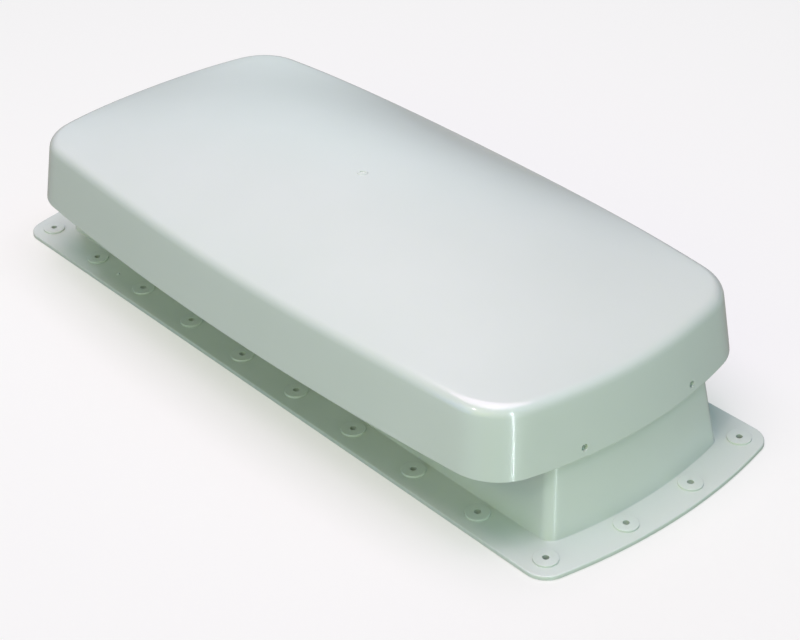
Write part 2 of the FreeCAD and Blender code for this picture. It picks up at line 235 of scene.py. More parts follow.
def quarter_round(radius, cells):
    """Quarter circle that leaves one face and runs into the next: the distances of its points from the first
    face, radius times (1 - cos), and from the second, radius times (1 - sin)."""
    turn = np.linspace(0, np.pi / 2, cells + 1)
    return radius * (1 - np.cos(turn)), radius * (1 - np.sin(turn))


def smooth_step(low, high, value):
    """0 below low and 1 above high, with the cubic 3 t^2 - 2 t^3 between them."""
    t = np.clip((value - low) / (high - low), 0, 1)
    return t * t * (3 - 2 * t)


def columns(end_shares, corner_cells, side_shares):
    """Which arc of a quarter outline each column lies on, and its share of the way along that arc."""
    shares = [end_shares[:-1], np.linspace(0, 1, corner_cells + 1)[:-1], side_shares]
    arcs = [np.full(len(part), i) for i, part in enumerate(shares)]
    return np.concatenate(arcs), np.concatenate(shares)


def quarter_outline(sizes, places):
    """Points and outward directions round a quarter of a bowed rectangle, from the +X end to the +Y side.

    A point is its arc's centre plus the radius times the direction of an angle, which runs from one end of
    the arc to the other. The corner's centre is where the circles that lie one corner radius inside the end
    arc and inside the side arc cross. Sizes may differ from row to row and from column to column.
    """
    half_length, half_width, end_radius, side_radius, corner_radius = np.broadcast_arrays(*sizes)
    arc, share = places
    end_x = half_length - end_radius
    side_y = half_width - side_radius
    end_reach = end_radius - corner_radius
    side_reach = side_radius - corner_radius
    gap = np.hypot(end_x, side_y)
    to_x = -end_x / gap
    to_y = side_y / gap
    along = (end_reach ** 2 - side_reach ** 2 + gap ** 2) / (2 * gap)
    across = np.sqrt(end_reach ** 2 - along ** 2)
    corner_x = end_x + to_x * along - to_y * across
    corner_y = to_y * along + to_x * across
    end_turn = np.arctan2(corner_y, corner_x - end_x)
    side_turn = np.arctan2(corner_y - side_y, corner_x)
    on = [arc == 0, arc == 1, arc == 2]
    turn = np.select(on, [end_turn * share, end_turn + (side_turn - end_turn) * share,
                          side_turn + (np.pi / 2 - side_turn) * share])
    centre_x = np.select(on, [end_x, corner_x, 0 * corner_x])
    centre_y = np.select(on, [0 * corner_y, corner_y, side_y])
    radius = np.select(on, [end_radius, corner_radius, side_radius])
    outward = plan_directions(turn)
    return np.stack([centre_x, centre_y], axis=-1) + radius[..., None] * outward, outward


def with_height(plan, height):
    """Points of a plan at the given heights."""
    height = np.broadcast_to(height, plan.shape[:-1])
    return np.concatenate([plan, height[..., None]], axis=-1)


def whole_loop(quarter):
    """Closed loop from its first quarter, mirrored in X and Y."""
    second = quarter[-2::-1] * (-1, 1)
    half = np.concatenate([quarter, second])
    return np.concatenate([half, (half * (1, -1))[-2:0:-1]])


class Skin:
    """Grids and flat faces that are welded into one closed mesh."""

    def __init__(self):
        self.points = []
        self.faces = []
        self.smooth = []
        self.count = 0

    def add(self, points, faces, smooth):
        """Takes in points (n, 3) and faces that count from the first of them."""
        self.points.append(points)
        self.faces += (np.asarray(faces) + self.count).tolist()
        self.smooth += [smooth] * len(faces)
        self.count += len(points)

    def grid(self, points, skip=None, smooth=True):
        """Takes in a grid (rows, columns, 3) as quads, but for the cells that skip marks."""
        rows, across = points.shape[:2]
        index = np.arange(rows * across).reshape(rows, across)
        quads = np.stack([index[:-1, :-1], index[:-1, 1:], index[1:, 1:], index[1:, :-1]], axis=-1)
        quads = quads.reshape(-1, 4) if skip is None else quads[~skip]
        self.add(points.reshape(-1, 3), quads, smooth)

    def quarters(self, points, skip=None, smooth=True):
        """Takes in a grid and its mirror images in X and Y."""
        for flip in ((1, 1, 1), (-1, 1, 1), (-1, -1, 1), (1, -1, 1)):
            self.grid(points * flip, skip, smooth)

    def flat(self, loops, height):
        """Takes in the level region between closed loops (n, 2), as triangles whose middles lie an odd number
        of crossings inside the loops."""
        starts = np.concatenate(loops)
        ends = np.concatenate([np.roll(loop, -1, axis=0) for loop in loops])
        order = np.arange(len(starts))
        rings = np.split(order, np.cumsum([len(loop) for loop in loops])[:-1])
        edges = np.stack([order, np.concatenate([np.roll(ring, -1) for ring in rings])], axis=-1)
        inside_edges, epsilon = 1, 1e-9
        found = delaunay_2d_cdt(starts.tolist(), edges.tolist(), [], inside_edges, epsilon)
        places = np.array(found[0])
        triangles = np.array(found[2])
        middle = places[triangles].mean(axis=1)[:, None]
        spans = (starts[:, 1] > middle[..., 1]) != (ends[:, 1] > middle[..., 1])
        rise = np.where(ends[:, 1] == starts[:, 1], 1, ends[:, 1] - starts[:, 1])
        crossing = starts[:, 0] + (ends[:, 0] - starts[:, 0]) * (middle[..., 1] - starts[:, 1]) / rise
        inside = (spans & (middle[..., 0] < crossing)).sum(axis=1) % 2 == 1
        self.add(with_height(places, height), triangles[inside], False)

    def rings(self, centres, radii, heights, count, smooth=True):
        """Takes in upright surfaces of revolution, one at each centre, from radii and heights row by row."""
        circle = plan_directions(closed_angles(count))
        for centre in centres:
            plan = np.asarray(centre) + np.asarray(radii)[:, None, None] * circle
            self.grid(with_height(plan, np.asarray(heights)[:, None]), smooth=smooth)

    def piece(self, name, material, crease=35):
        """Welds what was taken in, turns its faces outwards and returns it as an object at the origin. Edges
        that turn by more than the crease, in degrees, are sharp."""
        mesh = bpy.data.meshes.new(name)
        mesh.from_pydata(np.concatenate(self.points).tolist(), [], self.faces)
        mesh.polygons.foreach_set("use_smooth", self.smooth)
        work = bmesh.new()
        work.from_mesh(mesh)
        bmesh.ops.remove_doubles(work, verts=work.verts, dist=WELD)
        bmesh.ops.dissolve_degenerate(work, edges=work.edges, dist=WELD)
        bmesh.ops.recalc_face_normals(work, faces=work.faces)
        work.to_mesh(mesh)
        work.free()
        mesh.set_sharp_from_angle(angle=math.radians(crease))
        mesh.materials.append(material)
        thing = bpy.data.objects.new(name, mesh)
        bpy.context.scene.collection.objects.link(thing)
        return thing


def circle_at(centre, radius, count):
    """Closed circle of points round a centre."""
    return np.asarray(centre) + radius * plan_directions(even_angles(count))


def cap_hole():
    """Y and Z of the cap's screw hole in the first quarter, and of the pilot hole behind it."""
    cap = bpy.context.scene.vent_cap_sizes
    return cap.hole_side, CAP_LOW.z + cap.hole_rise


def block_rim(points, block):
    """The points round a block of grid cells, closed, starting at its first row and column."""
    top, bottom, left, right = block
    return np.concatenate([
        points[top, left:right],
        points[top:bottom, right],
        points[bottom, right:left:-1],
        points[bottom:top:-1, left],
        points[top:top + 1, left],
    ])


def block_cells(points, block):
    """Marks the cells of a block, so that the grid leaves them out."""
    top, bottom, left, right = block
    cells = np.zeros((points.shape[0] - 1, points.shape[1] - 1), bool)
    cells[top:bottom, left:right] = True
    return cells


def hole_circle(rim, centre, radius):
    """Circle in the YZ plane with a point for each of the rim's, at even angles from the rim's first one."""
    first = np.arctan2(rim[0, 2] - centre[1], rim[0, 1] - centre[0])
    second = np.arctan2(rim[1, 2] - centre[1], rim[1, 1] - centre[0])
    way = np.sign(np.sin(second - first))
    turn = first + way * np.linspace(0, 2 * np.pi, len(rim))
    return np.asarray(centre) + radius * plan_directions(turn)


def add_holed_wall(skin, wall, block, radius, sizes_at, inset):
    """Takes in a wall's grid with a round screw hole in a block of its cells, and returns the hole's circle.

    From the hole out to the block's rim, y and z move evenly from the circle to the rim, and x is the wall's
    own for that y and z.
    """
    skin.quarters(wall, block_cells(wall, block))
    rim = block_rim(wall, block)
    cells = 4
    share = np.linspace(0, 1, cells + 1)[:, None, None]
    across = hole_circle(rim, cap_hole(), radius) * (1 - share) + rim[:, 1:] * share
    x = wall_end_x(sizes_at, across[..., 1], across[..., 0], inset)
    points = np.concatenate([x[..., None], across], axis=-1)
    points[-1] = rim
    skin.quarters(points)
    return points[0]


def wall_end_x(sizes_at, level, across, inset):
    """X of an outline's end at a height and a distance from the centre line: the end circle's own x."""
    half_length, _, end_radius, _, _ = sizes_at(level, inset)
    return half_length - end_radius + np.sqrt(end_radius ** 2 - across ** 2)


def cap_sizes(level, inset):
    """Half length, half width and radii of the cap's skirt at a height, drawn in by inset."""
    cap = bpy.context.scene.vent_cap_sizes
    share = (level - CAP_LOW.z) / cap.skirt_height
    top_half_length = CAP_HIGH.x - cap.skirt_height * math.tan(cap.end_draft)
    top_half_width = CAP_HIGH.y - cap.skirt_height * math.tan(cap.side_draft)

    def between(bottom, top):
        return bottom + (top - bottom) * share - inset

    return (
        between(CAP_HIGH.x, top_half_length),
        between(CAP_HIGH.y, top_half_width),
        between(cap.end_radius_bottom, cap.end_radius_top),
        between(cap.side_radius_bottom, cap.side_radius_top),
        between(cap.corner_radius_bottom, cap.corner_radius_top),
    )


def rim_level():
    """Height where the skirt's line meets the dome."""
    return CAP_LOW.z + bpy.context.scene.vent_cap_sizes.skirt_height


def dome_height(plan, drop):
    """Height of the dome, with u = x / a and v = y / b for its half sizes a and b: the rim, plus the crown
    times (1 - u^2) (1 - v^2), which is highest at the middle, plus the side rise times (1 - u^2) v^2, which
    lifts the middle of the long sides. Both are 0 at the ends, where u = 1."""
    cap = bpy.context.scene.vent_cap_sizes
    half_length, half_width, *_ = cap_sizes(rim_level(), 0)
    flat_x = half_length - cap.edge_radius
    flat_y = half_width - cap.edge_radius
    crown = CAP_HIGH.z - rim_level()
    along, across = 1 - (plan[..., 0] / flat_x) ** 2, (plan[..., 1] / flat_y) ** 2
    return rim_level() - drop + along * (crown * (1 - across) + cap.side_rise * across)


def rim_circle(places, inset):
    """Rolling circle between skirt and dome in the upright plane across each column.

    Distances run inwards from the skirt's line at the rim. The circle's centre lies one radius inside the
    skirt's line and one radius below the dome, and the touching point on the dome is found by stepping it by
    the error that is left. Returns the centre, the radius, both touching angles and the skirt's lean.
    """
    radius = bpy.context.scene.vent_cap_sizes.edge_radius - inset
    rim = rim_level() - inset
    top, outward = quarter_outline(cap_sizes(np.full(places[0].shape, rim), inset), places)
    foot, _ = quarter_outline(cap_sizes(np.full(places[0].shape, CAP_LOW.z), inset), places)
    lean = ((foot - top) * outward).sum(axis=-1) / (rim - CAP_LOW.z)
    turn = np.arctan(lean)
    touch = np.full(lean.shape, radius)
    small, rounds = 1e-5, 20
    for _ in range(rounds):
        ahead = dome_height(top - outward * (touch + small)[:, None], inset)
        behind = dome_height(top - outward * (touch - small)[:, None], inset)
        slope = (ahead - behind) / (2 * small)
        steep = np.sqrt(1 + slope ** 2)
        centre_in = touch + radius * slope / steep
        centre_z = (ahead + behind) / 2 - radius / steep
        touch = touch - (centre_in * np.cos(turn) - (centre_z - rim) * np.sin(turn) - radius) / np.cos(turn)
    return centre_in, centre_z, radius, np.pi / 2 + np.arctan(slope), np.pi - turn, lean


def rim_rows(places, inset, cells):
    """Grid of the rounded edge, from the dome down to the skirt: a circle's arc in the plane across each
    column, set off inwards from the skirt's own outline at that height."""
    centre_in, centre_z, radius, first, last, lean = rim_circle(places, inset)
    share = np.linspace(0, 1, cells + 1)[:, None]
    turn = first + (last - first) * share
    inward = centre_in + radius * np.cos(turn)
    level = centre_z + radius * np.sin(turn)
    outline, outward = quarter_outline(cap_sizes(level, inset), places)
    from_skirt = inward + (rim_level() - inset - level) * lean
    return with_height(outline - outward * from_skirt[..., None], level)


def dome_rows(edge, inset, marked):
    """Grid of the dome from its edge to the middle: each ray's length shrinks evenly to a small circle, and
    then to nothing through the gate mark's rings where it is marked."""
    cap = bpy.context.scene.vent_cap_sizes
    reach = np.hypot(edge[:, 0], edge[:, 1])
    ray = edge[:, :2] / reach[:, None]
    circle, mark = 15 * MM, 1.1 * cap.gate_radius
    dome_cells, ring_cells, mark_cells, plain_cells = 23, 5, 32, 4
    lengths = circle + (reach - circle) * np.linspace(1, 0, dome_cells + 1)[:, None]
    if marked:
        inner = np.concatenate([np.linspace(circle, mark, ring_cells + 1)[1:-1],
                                np.linspace(mark, 0, mark_cells + 1)])
    else:
        inner = np.linspace(circle, 0, plain_cells + 1)[1:]
    lengths = np.concatenate([lengths, np.repeat(inner[:, None], len(reach), axis=1)])
    plan = ray * lengths[..., None]
    height = dome_height(plan, inset)
    if marked:
        height = height + gate_mark(lengths)
    points = with_height(plan, height)
    points[0] = edge
    return points


def gate_mark(distance):
    """Height of the gate's mark at a distance from the middle: a low ring with sloping sides and a dimple."""
    cap = bpy.context.scene.vent_cap_sizes
    ring = 1 - smooth_step(cap.gate_radius - cap.gate_wall, cap.gate_radius, distance)
    dimple = 1 - smooth_step(cap.dimple_radius - cap.gate_wall, cap.dimple_radius, distance)
    return cap.gate_rise * ring - (cap.gate_rise + cap.dimple_depth) * dimple


def wall_columns(sizes_at, block_half, side_shares):
    """Columns of a quarter wall, with even cells across the block round the screw hole, and the first and
    last column of that block. The end circle's angle at a distance from the centre line is the arc sine of
    the distance over the circle's radius."""
    hole_side, hole_level = cap_hole()
    sizes = [np.array([part]) for part in sizes_at(hole_level, 0)]
    both_ends = (np.array([0, 0]), np.array([0.0, 1.0]))
    _, outward = quarter_outline(sizes, both_ends)
    full_turn = np.arctan2(outward[1, 1], outward[1, 0])
    sides = np.array([hole_side - block_half, hole_side + block_half])
    first, last = np.arcsin(sides / sizes[2][0]) / full_turn
    before, beyond, corner_cells = 10, 8, 12
    shares = np.concatenate([np.linspace(0, first, before + 1)[:-1], np.linspace(first, last, HOLE_CELLS + 1),
                             np.linspace(last, 1, beyond + 1)[1:]])
    return columns(shares, corner_cells, side_shares), (before, before + HOLE_CELLS)


def rib_plate(skin, x_range, across, low, thickness):
    """Upright rib under the roof: a grid of four rows that goes up one face, over the top and down the other,
    with its top inside the cap's wall."""
    half = thickness / 2
    cells = 14
    x = np.linspace(*x_range, cells + 1)
    lower = np.stack([x, 0 * x, 0 * x + low], axis=-1)
    upper = np.stack([x, 0 * x, ceiling_height(x, across)], axis=-1)
    near = np.array([0, across - half, 0])
    far = np.array([0, across + half, 0])
    loop = np.stack([lower + near, upper + near, upper + far, lower + far, lower + near])
    for flip in ((1, 1, 1), (-1, 1, 1)):
        skin.grid(loop * flip)
        for end in (0, -1):
            skin.add(loop[:4, end] * flip, [[0, 1, 2, 3]], False)


def ceiling_height(x, across):
    """Height of the middle of the cap's wall over points near an end: the dome's, or where the point lies
    outside the rounded edge's touching line, the rolling circle's."""
    depth = bpy.context.scene.vent_cap_sizes.wall / 2
    half_length, _, end_radius, _, _ = cap_sizes(rim_level() - depth, depth)
    inward = end_radius - np.hypot(x - (half_length - end_radius), across)
    here = (np.array([0]), np.array([0.0]))
    centre_in, centre_z, radius, first, _, _ = (np.ravel(part)[0] for part in rim_circle(here, depth))
    touch = centre_in + radius * np.cos(first)
    dome = dome_height(np.stack([x, np.full_like(x, across)], axis=-1), depth)
    bend = centre_z + np.sqrt(np.maximum(radius ** 2 - (inward - centre_in) ** 2, 0))
    return np.where(inward > touch, dome, np.minimum(bend, dome))


def build_cap():
    """Domed cap: a shell of two faces that meet at the lip, in quarters, with its screw holes and ribs."""
    cap = bpy.context.scene.vent_cap_sizes
    side_cells = 24
    places, block_columns = wall_columns(cap_sizes, CAP_BLOCK, np.linspace(0, 1, side_cells + 1))
    skin = Skin()
    _, outer_hole = add_cap_face(skin, places, block_columns, 0)
    lip = lip_rows(places)
    skin.quarters(lip)
    inner_foot, inner_hole = add_cap_face(skin, places, block_columns, cap.wall)
    skin.quarters(np.stack([lip[-1], inner_foot]), smooth=False)
    skin.quarters(np.stack([outer_hole, inner_hole]))
    add_cap_ribs(skin)
    return skin


def add_cap_face(skin, places, block_columns, inset):
    """One face of the cap's shell, the outer one where inset is 0: dome, rounded edge and skirt with its
    screw holes. Returns the skirt's lowest row and a hole's circle."""
    cap = bpy.context.scene.vent_cap_sizes
    outside = inset == 0
    edge = rim_rows(places, inset, cells=9)
    skin.quarters(dome_rows(edge[0], inset, marked=outside))
    skin.quarters(edge)
    hole_level = cap_hole()[1]
    block_levels = np.linspace(hole_level + CAP_BLOCK, hole_level - CAP_BLOCK, HOLE_CELLS + 1)[:, None]
    start = edge[-1:, :, 2]
    above = np.concatenate([start + (block_levels[0] - start) * share for share in (0, 1 / 3, 2 / 3)])
    foot = np.full_like(start, CAP_LOW.z + (cap.lip_round if outside else 0))
    levels = np.concatenate([above, block_levels + 0 * start, foot])
    plan, _ = quarter_outline(cap_sizes(levels, inset), places)
    wall = with_height(plan, levels)
    block = (len(above), len(above) + HOLE_CELLS, *block_columns)
    return wall[-1], add_holed_wall(skin, wall, block, cap.hole_radius, cap_sizes, inset)


def lip_rows(places):
    """Grid of the skirt's lower outer edge: a quarter round from the wall to the bottom."""
    drawn, above = quarter_round(bpy.context.scene.vent_cap_sizes.lip_round, cells=5)
    level = CAP_LOW.z + above[:, None] + 0 * places[1]
    outline, outward = quarter_outline(cap_sizes(level, 0), places)
    return with_height(outline - outward * drawn[:, None, None], level)


def add_cap_ribs(skin):
    """Three rest ribs and two locating ribs under each end of the roof."""
    cap = bpy.context.scene.vent_cap_sizes
    base = bpy.context.scene.vent_base_sizes
    into_wall = cap.wall / 2
    rest = BASE_HIGH.z + cap.rib_gap
    for across in (-cap.rib_spacing, 0, cap.rib_spacing):
        start = collar_sizes(BASE_HIGH.z, 0)[0] - base.wall - cap.rib_length
        finish = wall_end_x(cap_sizes, rest, across, into_wall)
        rib_plate(skin, (start, finish), across, rest, cap.rib_thickness)
    low = BASE_HIGH.z - cap.locator_reach
    side = collar_sizes(low, 0)[1] + cap.locator_gap + cap.locator_thickness / 2
    finish = collar_sizes(BASE_HIGH.z, 0)[0] - base.collar_corner_radius
    for way in (-1, 1):
        rib_plate(skin, (finish - cap.locator_length, finish), way * side, low, cap.locator_thickness)


def collar_sizes(level, inset):
    """Half length, half width and radii of the collar at a height, drawn in by inset."""
    base = bpy.context.scene.vent_base_sizes
    rise = level - base.flange_thickness
    return (
        base.collar_half_length - rise * math.tan(base.end_draft) - inset,
        base.collar_half_width - rise * math.tan(base.side_draft) - inset,
        base.collar_end_radius - inset,
        STRAIGHT,
        base.collar_corner_radius - inset,
    )


def window_start():
    """X where the side window's flat bottom would meet the line of its sloping end."""
    base = bpy.context.scene.vent_base_sizes
    return collar_sizes(SCREEN_LOW.z, 0)[0] - base.window_margin


def wall_top(x):
    """Height of the collar's top edge: level along the window, an arc, a slope, then the end wall's top."""
    base = bpy.context.scene.vent_base_sizes
    shelf = SCREEN_LOW.z
    rise = (BASE_HIGH.z - shelf) / base.window_slope
    turn = math.atan(rise)
    radius = base.window_round
    arc_start = window_start() - radius * math.tan(turn / 2)
    along = np.clip(x - arc_start, 0, radius * math.sin(turn))
    arc = shelf + radius - np.sqrt(radius ** 2 - along ** 2)
    slope = shelf + (x - window_start()) * rise
    return np.minimum(np.maximum(arc, slope), BASE_HIGH.z)


def flange_sizes():
    """Half length, half width and radii of the flange."""
    base = bpy.context.scene.vent_base_sizes
    return BASE_HIGH.x, BASE_HIGH.y, base.flange_end_radius, STRAIGHT, base.flange_corner_radius


def roof_screw_places():
    """Centres of the roof screws: a row along each side and two more at each end."""
    base = bpy.context.scene.vent_base_sizes
    row = (np.arange(base.screws_per_side) - (base.screws_per_side - 1) / 2) * base.screw_pitch
    sides = [(x, way * base.row_side) for way in (-1, 1) for x in row]
    end_x = row[-1] + base.end_screw_step
    return sides + [(end * end_x, way * base.screw_pitch / 2) for end in (-1, 1) for way in (-1, 1)]


def wire_places(half_size, pitch):
    """Places of the wires across the screen, with an opening at the middle."""
    radius = bpy.context.scene.vent_screen_sizes.wire_radius
    count = math.floor((half_size - 2 * radius) / pitch + 0.5)
    return pitch * (np.arange(-count, count) + 0.5)


def screen_screw_places():
    """Centres of the strip screws, six of the screen's openings apart: four along each side, in the second
    opening from the edge, and two at each end."""
    screen = bpy.context.scene.vent_screen_sizes
    openings = 6
    side_y = wire_places(SCREEN_HIGH.y, screen.pitch_across)[-1] - screen.pitch_across / 2
    far_x = SCREW_HIGH.x - screen.head_radius
    sides = [(step * openings * screen.pitch_along, y)
             for step in (-1.5, -0.5, 0.5, 1.5) for y in (-side_y, side_y)]
    ends = [(x, step * openings * screen.pitch_across) for x in (-far_x, far_x) for step in (-0.5, 0.5)]
    return sides + ends


def collar_columns():
    """Columns of a quarter of the collar, closer together along the side window's end."""
    base = bpy.context.scene.vent_base_sizes
    corner_start = collar_sizes(SCREEN_LOW.z, 0)[0] - base.collar_corner_radius
    foot = window_start()
    marks = np.array([corner_start, foot + base.window_slope, foot + base.window_round / 2,
                      foot - base.window_round / 2, 0])
    shares = 1 - marks / corner_start
    cells = (4, 6, 6, 8)
    runs = [np.linspace(start, finish, count + 1)[:-1]
            for start, finish, count in zip(shares, shares[1:], cells)]
    return wall_columns(collar_sizes, COLLAR_BLOCK, np.append(np.concatenate(runs), 1))


def build_base():
    """Base: flange with pads, tapered collar with windows, shelf, ledges and bosses, welded into one skin."""
    base = bpy.context.scene.vent_base_sizes
    skin = Skin()
    add_flange(skin, base)
    add_pads(skin, base)
    add_collar(skin, base)
    add_pip(skin, base)
    return skin


def add_flange(skin, base):
    """Flange: a quarter round over an upright band at its edge, and flat faces with round openings."""
    end_cells, corner_cells, side_cells = 20, 10, 4
    places = columns(np.linspace(0, 1, end_cells + 1), corner_cells, np.linspace(0, 1, side_cells + 1))
    drawn, fallen = quarter_round(base.flange_round, cells=5)
    drawn = np.append(0, drawn)[:, None]
    level = np.append(0, base.flange_thickness - fallen)[:, None]
    outline, outward = quarter_outline([part + 0 * level for part in flange_sizes()], places)
    edge = with_height(outline - outward * drawn[..., None], level)
    skin.quarters(edge)
    foot, foot_way = collar_row(base.flange_thickness, 0)
    foot_loop = whole_loop(foot + foot_way * base.foot_round)
    throat_loop = whole_loop(collar_row(0, base.wall)[0])
    pads = [circle_at(place, base.pad_radius, PAD_POINTS) for place in roof_screw_places()]
    holes = [circle_at(place, base.hole_radius, PAD_POINTS) for place in roof_screw_places()]
    skin.flat([whole_loop(edge[-1, :, :2]), foot_loop] + pads, base.flange_thickness)
    skin.flat([whole_loop(edge[0, :, :2]), throat_loop] + holes, 0)


def add_pads(skin, base):
    """Raised pads: an upright side, a quarter round, a flat top and the screw hole through the flange."""
    drawn, fallen = quarter_round(base.pad_round, cells=4)
    top = base.flange_thickness + base.pad_height
    radii = np.append(base.pad_radius, base.pad_radius - drawn)
    levels = np.append(base.flange_thickness, top - fallen)
    places = roof_screw_places()
    skin.rings(places, radii, levels, PAD_POINTS)
    skin.rings(places, [radii[-1], base.hole_radius], [top, top], PAD_POINTS, smooth=False)
    skin.rings(places, [base.hole_radius] * 2, [top, 0], PAD_POINTS)


def add_pip(skin, base):
    """Moulding pip: a low dome whose height falls with the square of the distance from its middle, closed
    under the flange's top."""
    x = -(base.screws_per_side - 1) * base.screw_pitch / 2 + base.pip_bays * base.screw_pitch
    cells = 7
    share = np.linspace(0, 1, cells + 1)
    radii = np.append(base.pip_radius * share, [base.pip_radius, 0])
    dome = base.flange_thickness + base.pip_height * (1 - share ** 2)
    levels = np.append(dome, [base.flange_thickness - base.flange_round] * 2)
    skin.rings([(x, -base.row_side - base.pip_inset)], radii, levels, PIP_POINTS)


def collar_row(level, inset):
    """One row of the collar's outline with its outward directions."""
    places, _ = collar_columns()
    return quarter_outline([np.full(places[0].shape, part) for part in collar_sizes(level, inset)], places)


def collar_rows(levels, inset):
    """Grid of the collar's wall at the given heights."""
    places, _ = collar_columns()
    outline, _ = quarter_outline(collar_sizes(levels, inset), places)
    return with_height(outline, levels)


def top_levels():
    """Height of the collar's top edge at each column, found by following the column up to the edge."""
    levels = np.full(collar_columns()[0][0].shape, BASE_HIGH.z)
    rounds = 12
    for _ in range(rounds):
        x = collar_rows(levels[None], 0)[0, :, 0]
        levels = wall_top(x)
    return levels


def add_collar(skin, base):
    """Collar: foot, outer wall, top edge, inner wall above and below the shelf, and what they carry."""
    places, block_columns = collar_columns()
    wide = np.zeros(len(places[0]))
    hole_level = cap_hole()[1]
    block_levels = np.linspace(hole_level - COLLAR_BLOCK, hole_level + COLLAR_BLOCK, HOLE_CELLS + 1)
    shelf = SCREEN_LOW.z
    top = top_levels()
    above, away = quarter_round(base.foot_round, cells=4)
    foot_level = base.flange_thickness + above[:, None] + wide
    foot, outward = quarter_outline(collar_sizes(foot_level, 0), places)
    skin.quarters(with_height(foot + outward * away[:, None, None], foot_level))
    middle = (foot_level[-1, 0] + block_levels[0]) / 2
    fixed = np.concatenate([[foot_level[-1, 0], middle], block_levels, [shelf]])[:, None] + wide
    rising = np.stack([shelf + (top - shelf) * share for share in (0.5, 1)])
    outer = collar_rows(np.concatenate([fixed, rising]), 0)
    rows_below = 2
    block = (rows_below, rows_below + HOLE_CELLS, *block_columns)
    bore = add_holed_wall(skin, outer, block, base.pilot_radius, collar_sizes, 0)
    ledge_share = 1 - base.ledge_thickness / (BASE_HIGH.z - shelf)
    inner = collar_rows(np.stack([shelf + (top - shelf) * share for share in (1, ledge_share, 0)]), base.wall)
    skin.quarters(np.stack([outer[-1], inner[0]]))
    last_end = np.flatnonzero(places[0] == 1)[-1] + 1
    skin.quarters(inner, block_cells(inner, (0, 1, 0, last_end)))
    add_ledges(skin, inner[:2, :last_end + 1])
    add_shelf(skin, base)
    lower_levels = np.concatenate([[0, middle], block_levels, [shelf - base.shelf_thickness]])[:, None]
    lower = collar_rows(lower_levels + wide, base.wall)
    boss = add_holed_wall(skin, lower, block, base.pilot_boss_radius, collar_sizes, base.wall)
    add_pilot_bosses(skin, base, boss, bore)


def add_pilot_bosses(skin, base, on_wall, on_outside):
    """Bosses behind the cap's screw holes: a tube from the inner wall to a flat end, with a bore inside."""
    side, level = cap_hole()
    start = wall_end_x(collar_sizes, level, side, base.wall) - base.pilot_boss_length
    end_ring = on_wall * (0, 1, 1) + (start, 0, 0)
    bore_ring = on_outside * (0, 1, 1) + (start, 0, 0)
    skin.quarters(np.stack([on_wall, end_ring]))
    skin.quarters(np.stack([end_ring, bore_ring]), smooth=False)
    skin.quarters(np.stack([bore_ring, on_outside]))


def add_ledges(skin, rows):
    """Ledges at the tops of the end walls: flat above and below, with a straight inner face."""
    for end in (1, -1):
        corners = []
        for row in rows:
            half = row[:, :2] * (end, 1)
            loop = np.concatenate([half, (half * (1, -1))[::-1][:-1]])
            skin.flat([loop], row[0, 2])
            corners.append([np.append(half[-1] * (1, way), row[0, 2]) for way in (1, -1)])
        upper, lower = corners
        skin.add(np.array([upper[0], upper[1], lower[1], lower[0]]), [[0, 1, 2, 3]], False)


def shelf_opening(base):
    """Closed loop round the opening in the shelf, inside the strips."""
    half_x = STRIP_LOW.x - base.shelf_lip
    half_y = -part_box("screen_strip_front")[1].y - base.shelf_lip
    return np.array([(half_x, half_y), (-half_x, half_y), (-half_x, -half_y), (half_x, -half_y)])


def add_shelf(skin, base):
    """Shelf under the screen's edges, its opening, and the screw bosses that hang from it."""
    shelf = SCREEN_LOW.z
    under = shelf - base.shelf_thickness
    opening = shelf_opening(base)
    places = screen_screw_places()
    bosses = [circle_at(place, base.boss_radius, BOSS_POINTS) for place in places]
    skin.flat([whole_loop(collar_row(shelf, base.wall)[0]), opening], shelf)
    skin.flat([whole_loop(collar_row(under, base.wall)[0]), opening] + bosses, under)
    closed = opening[[0, 1, 2, 3, 0]]
    skin.grid(np.stack([with_height(closed, shelf), with_height(closed, under)]), smooth=False)
    tip = SCREW_LOW.z - base.boss_depth
    radii = [base.boss_radius, base.boss_radius, base.boss_radius - base.boss_edge, 0]
    skin.rings(places, radii, [under, tip + base.boss_edge, tip, tip], BOSS_POINTS)


def build_screen():
    """Bird screen: round wires with domed cut ends, the long ones welded on top of the cross wires."""
    screen = bpy.context.scene.vent_screen_sizes
    radius = screen.wire_radius
    skin = Skin()
    half_x, half_y = SCREEN_HIGH.x, SCREEN_HIGH.y
    low, high = SCREEN_LOW.z + radius, SCREEN_HIGH.z - radius
    for x in wire_places(half_x, screen.pitch_along):
        add_wire(skin, (x, -half_y, low), (x, half_y, low), radius)
    for y in wire_places(half_y, screen.pitch_across):
        add_wire(skin, (-half_x, y, high), (half_x, y, high), radius)
    return skin


def add_wire(skin, start, finish, radius):
    """Straight wire: circles across its axis, with its ends drawn in over a tip and closed."""
    start = np.array(start)
    axis = np.array(finish) - start
    run = np.linalg.norm(axis)
    side = np.cross(axis / run, (0, 0, 1))
    turn = closed_angles(WIRE_POINTS)
    circle = np.cos(turn)[:, None] * side + np.sin(turn)[:, None] * np.array((0, 0, 1))
    tip, drawn_in = 0.3 * radius, 0.7
    along = np.array([0, 0, tip, run - tip, run, run])
    size = np.array([0, drawn_in, 1, 1, drawn_in, 0]) * radius
    skin.grid(start + (along / run)[:, None, None] * axis + size[:, None, None] * circle)


